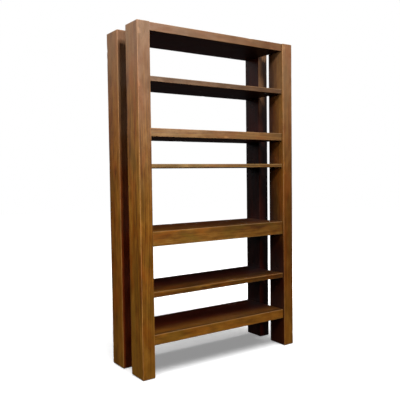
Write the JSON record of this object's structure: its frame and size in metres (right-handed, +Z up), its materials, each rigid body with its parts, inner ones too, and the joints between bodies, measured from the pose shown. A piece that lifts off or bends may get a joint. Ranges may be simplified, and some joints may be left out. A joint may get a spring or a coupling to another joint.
{
  "type": "bookcase with adjustable shelves",
  "caption": "Tall freestanding open bookcase of stained solid wood: thick posts in pairs with an open gap, thick fixed shelves and thinner adjustable shelves lying on pins.",
  "frame": {"origin": "on the floor, at the centre of the footprint", "axes": "+Z up along the posts, +X to the right seen from the front, -Y towards the front"},
  "size_m": [1.15, 0.385, 2],
  "materials": {
    "stained_wood": "satin stained hardwood",
    "dowel_wood": "raw hardwood dowel",
    "pin_brass": "turned, slightly dull",
    "zinc_steel": "zinc plated",
    "glide_plastic": "matt"
  },
  "bodies": {
    "frame": {"bottom_shelf_centre_bearer": "stained_wood", "bottom_shelf_dowels": "dowel_wood", "bottom_shelf_front_rail": "stained_wood", "bottom_shelf_left_bearer": "stained_wood", "bottom_shelf_nuts": "zinc_steel", "bottom_shelf_panel": "stained_wood", "bottom_shelf_rear_rail": "stained_wood", "bottom_shelf_right_bearer": "stained_wood", "bottom_shelf_studs": "zinc_steel", "bottom_shelf_washers": "zinc_steel", "floor_glides": "glide_plastic", "middle_fixed_shelf_centre_bearer": "stained_wood", "middle_fixed_shelf_dowels": "dowel_wood", "middle_fixed_shelf_front_rail": "stained_wood", "middle_fixed_shelf_left_bearer": "stained_wood", "middle_fixed_shelf_nuts": "zinc_steel", "middle_fixed_shelf_panel": "stained_wood", "middle_fixed_shelf_rear_rail": "stained_wood", "middle_fixed_shelf_right_bearer": "stained_wood", "middle_fixed_shelf_studs": "zinc_steel", "middle_fixed_shelf_washers": "zinc_steel", "post_front_left": "stained_wood", "post_front_right": "stained_wood", "post_rear_left": "stained_wood", "post_rear_right": "stained_wood", "top_shelf": "stained_wood", "top_shelf_crescent_washers": "zinc_steel", "top_shelf_dowels": "dowel_wood", "top_shelf_nuts": "zinc_steel", "top_shelf_studs": "zinc_steel", "upper_fixed_shelf": "stained_wood", "upper_fixed_shelf_crescent_washers": "zinc_steel", "upper_fixed_shelf_dowels": "dowel_wood", "upper_fixed_shelf_nuts": "zinc_steel", "upper_fixed_shelf_studs": "zinc_steel"},
    "upper_adjustable_shelf": {"upper_adjustable_shelf": "stained_wood"},
    "upper_pin_front_left": {"upper_pin_front_left": "pin_brass"},
    "upper_pin_front_right": {"upper_pin_front_right": "pin_brass"},
    "upper_pin_rear_left": {"upper_pin_rear_left": "pin_brass"},
    "upper_pin_rear_right": {"upper_pin_rear_right": "pin_brass"},
    "middle_adjustable_shelf": {"middle_adjustable_shelf": "stained_wood"},
    "middle_pin_front_left": {"middle_pin_front_left": "pin_brass"},
    "middle_pin_front_right": {"middle_pin_front_right": "pin_brass"},
    "middle_pin_rear_left": {"middle_pin_rear_left": "pin_brass"},
    "middle_pin_rear_right": {"middle_pin_rear_right": "pin_brass"},
    "lower_adjustable_shelf": {"lower_adjustable_shelf": "stained_wood"},
    "lower_pin_front_left": {"lower_pin_front_left": "pin_brass"},
    "lower_pin_front_right": {"lower_pin_front_right": "pin_brass"},
    "lower_pin_rear_left": {"lower_pin_rear_left": "pin_brass"},
    "lower_pin_rear_right": {"lower_pin_rear_right": "pin_brass"}
  },
  "joints": [
    {"name": "upper_shelf_lift", "type": "slide", "parent": "frame", "child": "upper_adjustable_shelf", "axis": [0, 0, 1], "range_m": [0, 0.243]},
    {"name": "upper_pin_front_left_pull", "type": "slide", "parent": "frame", "child": "upper_pin_front_left", "axis": [1, 0, 0], "range_m": [0, 0.018]},
    {"name": "upper_pin_front_right_pull", "type": "slide", "parent": "frame", "child": "upper_pin_front_right", "axis": [-1, 0, 0], "range_m": [0, 0.018]},
    {"name": "upper_pin_rear_left_pull", "type": "slide", "parent": "frame", "child": "upper_pin_rear_left", "axis": [1, 0, 0], "range_m": [0, 0.018]},
    {"name": "upper_pin_rear_right_pull", "type": "slide", "parent": "frame", "child": "upper_pin_rear_right", "axis": [-1, 0, 0], "range_m": [0, 0.018]},
    {"name": "middle_shelf_lift", "type": "slide", "parent": "frame", "child": "middle_adjustable_shelf", "axis": [0, 0, 1], "range_m": [0, 0.149]},
    {"name": "middle_pin_front_left_pull", "type": "slide", "parent": "frame", "child": "middle_pin_front_left", "axis": [1, 0, 0], "range_m": [0, 0.018]},
    {"name": "middle_pin_front_right_pull", "type": "slide", "parent": "frame", "child": "middle_pin_front_right", "axis": [-1, 0, 0], "range_m": [0, 0.018]},
    {"name": "middle_pin_rear_left_pull", "type": "slide", "parent": "frame", "child": "middle_pin_rear_left", "axis": [1, 0, 0], "range_m": [0, 0.018]},
    {"name": "middle_pin_rear_right_pull", "type": "slide", "parent": "frame", "child": "middle_pin_rear_right", "axis": [-1, 0, 0], "range_m": [0, 0.018]},
    {"name": "lower_shelf_lift", "type": "slide", "parent": "frame", "child": "lower_adjustable_shelf", "axis": [0, 0, 1], "range_m": [0, 0.255]},
    {"name": "lower_pin_front_left_pull", "type": "slide", "parent": "frame", "child": "lower_pin_front_left", "axis": [1, 0, 0], "range_m": [0, 0.018]},
    {"name": "lower_pin_front_right_pull", "type": "slide", "parent": "frame", "child": "lower_pin_front_right", "axis": [-1, 0, 0], "range_m": [0, 0.018]},
    {"name": "lower_pin_rear_left_pull", "type": "slide", "parent": "frame", "child": "lower_pin_rear_left", "axis": [1, 0, 0], "range_m": [0, 0.018]},
    {"name": "lower_pin_rear_right_pull", "type": "slide", "parent": "frame", "child": "lower_pin_rear_right", "axis": [-1, 0, 0], "range_m": [0, 0.018]}
  ]
}
